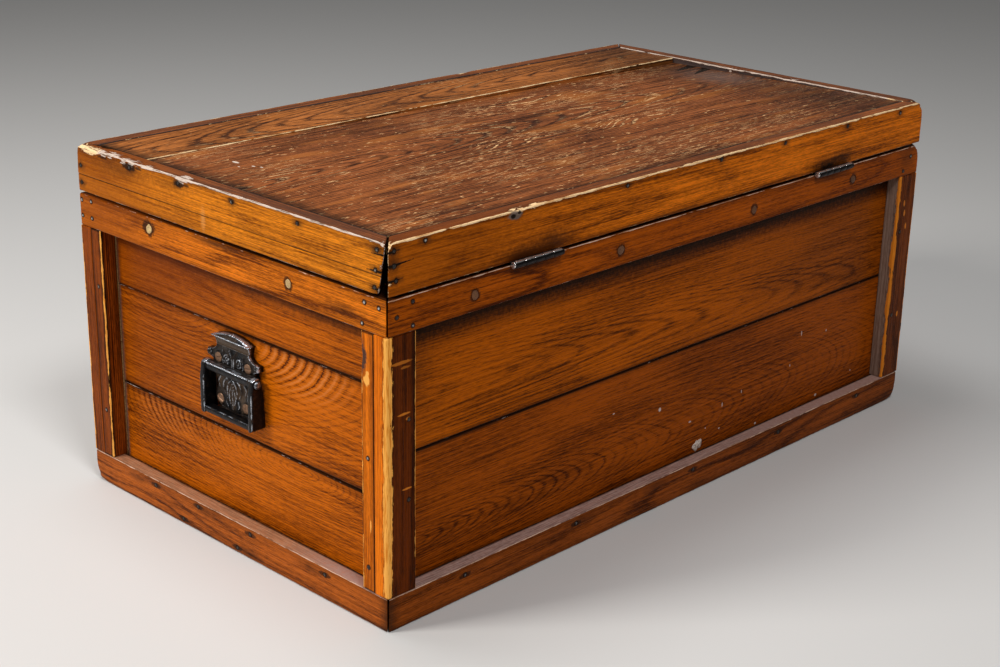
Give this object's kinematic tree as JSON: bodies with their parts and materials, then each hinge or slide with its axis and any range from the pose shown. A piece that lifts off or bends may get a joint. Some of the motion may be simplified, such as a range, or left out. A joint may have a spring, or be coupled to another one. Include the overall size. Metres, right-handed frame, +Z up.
{
  "type": "tool chest",
  "caption": "Wooden tool chest: boarded case in a nailed plinth, stile and rail frame, flat framed lid on butt hinges, cast iron lift handles on the ends.",
  "frame": {"origin": "under the middle of the base, on the plane that the chest stands on", "axes": "+X to the right end seen from the front, +Y to the back with the hinges, +Z up"},
  "size_m": [0.808, 0.4587, 0.355],
  "materials": {
    "frame_wood": "varnished hardwood frame, worn pale along the arrises",
    "board_wood": "varnished hardwood boards, satin, orange brown",
    "lid_wood": "worn reddish brown varnish over coarse open grain",
    "bottom_wood": "bare softwood",
    "hinge_steel": "dark oiled steel with rubbed highlights",
    "cast_iron": "dark cast iron, rubbed bright on the edges",
    "screw_steel": "brown rusted steel"
  },
  "bodies": {
    "case": {"front_board_lower": "board_wood", "front_board_upper": "board_wood", "back_board_lower": "board_wood", "back_board_upper": "board_wood", "right_end_board_lower": "board_wood", "right_end_board_middle": "board_wood", "right_end_board_upper": "board_wood", "left_end_board_lower": "board_wood", "left_end_board_middle": "board_wood", "left_end_board_upper": "board_wood", "bottom_board_1": "bottom_wood", "bottom_board_2": "bottom_wood", "bottom_board_3": "bottom_wood", "front_plinth": "frame_wood", "back_plinth": "frame_wood", "left_plinth": "frame_wood", "right_plinth": "frame_wood", "front_top_rail": "frame_wood", "back_top_rail": "frame_wood", "left_top_rail": "frame_wood", "right_top_rail": "frame_wood", "right_front_long_stile": "frame_wood", "right_front_end_stile": "frame_wood", "right_back_long_stile": "frame_wood", "right_back_end_stile": "frame_wood", "left_front_long_stile": "frame_wood", "left_front_end_stile": "frame_wood", "left_back_long_stile": "frame_wood", "left_back_end_stile": "frame_wood", "right_hinge_case_leaf": "hinge_steel", "right_hinge_pin": "hinge_steel", "right_handle_plate": "cast_iron", "right_handle_pin": "cast_iron", "right_handle_screw_1": "screw_steel", "right_handle_screw_2": "screw_steel", "right_handle_screw_3": "screw_steel", "right_handle_screw_4": "screw_steel", "left_hinge_case_leaf": "hinge_steel", "left_hinge_pin": "hinge_steel", "left_handle_plate": "cast_iron", "left_handle_pin": "cast_iron", "left_handle_screw_1": "screw_steel", "left_handle_screw_2": "screw_steel", "left_handle_screw_3": "screw_steel", "left_handle_screw_4": "screw_steel"},
    "lid": {"front_lid_rail": "frame_wood", "back_lid_rail": "frame_wood", "left_lid_rail": "frame_wood", "right_lid_rail": "frame_wood", "lid_board_front": "lid_wood", "lid_board_rear": "lid_wood", "right_hinge_lid_leaf": "hinge_steel", "left_hinge_lid_leaf": "hinge_steel"},
    "right_bail": {"right_handle_bail": "cast_iron"},
    "left_bail": {"left_handle_bail": "cast_iron"}
  },
  "joints": [
    {"name": "lid_hinge", "type": "hinge", "parent": "case", "child": "lid", "pos_m": [0, 0.2295, 0.3075], "axis": [-1, 0, 0], "range_deg": [0, 180]},
    {"name": "right_handle_swing", "type": "hinge", "parent": "case", "child": "right_bail", "pos_m": [0.3957, 0, 0.177], "axis": [0, -1, 0], "range_deg": [0, 90]},
    {"name": "left_handle_swing", "type": "hinge", "parent": "case", "child": "left_bail", "pos_m": [-0.3957, 0, 0.177], "axis": [0, 1, 0], "range_deg": [0, 90]}
  ]
}
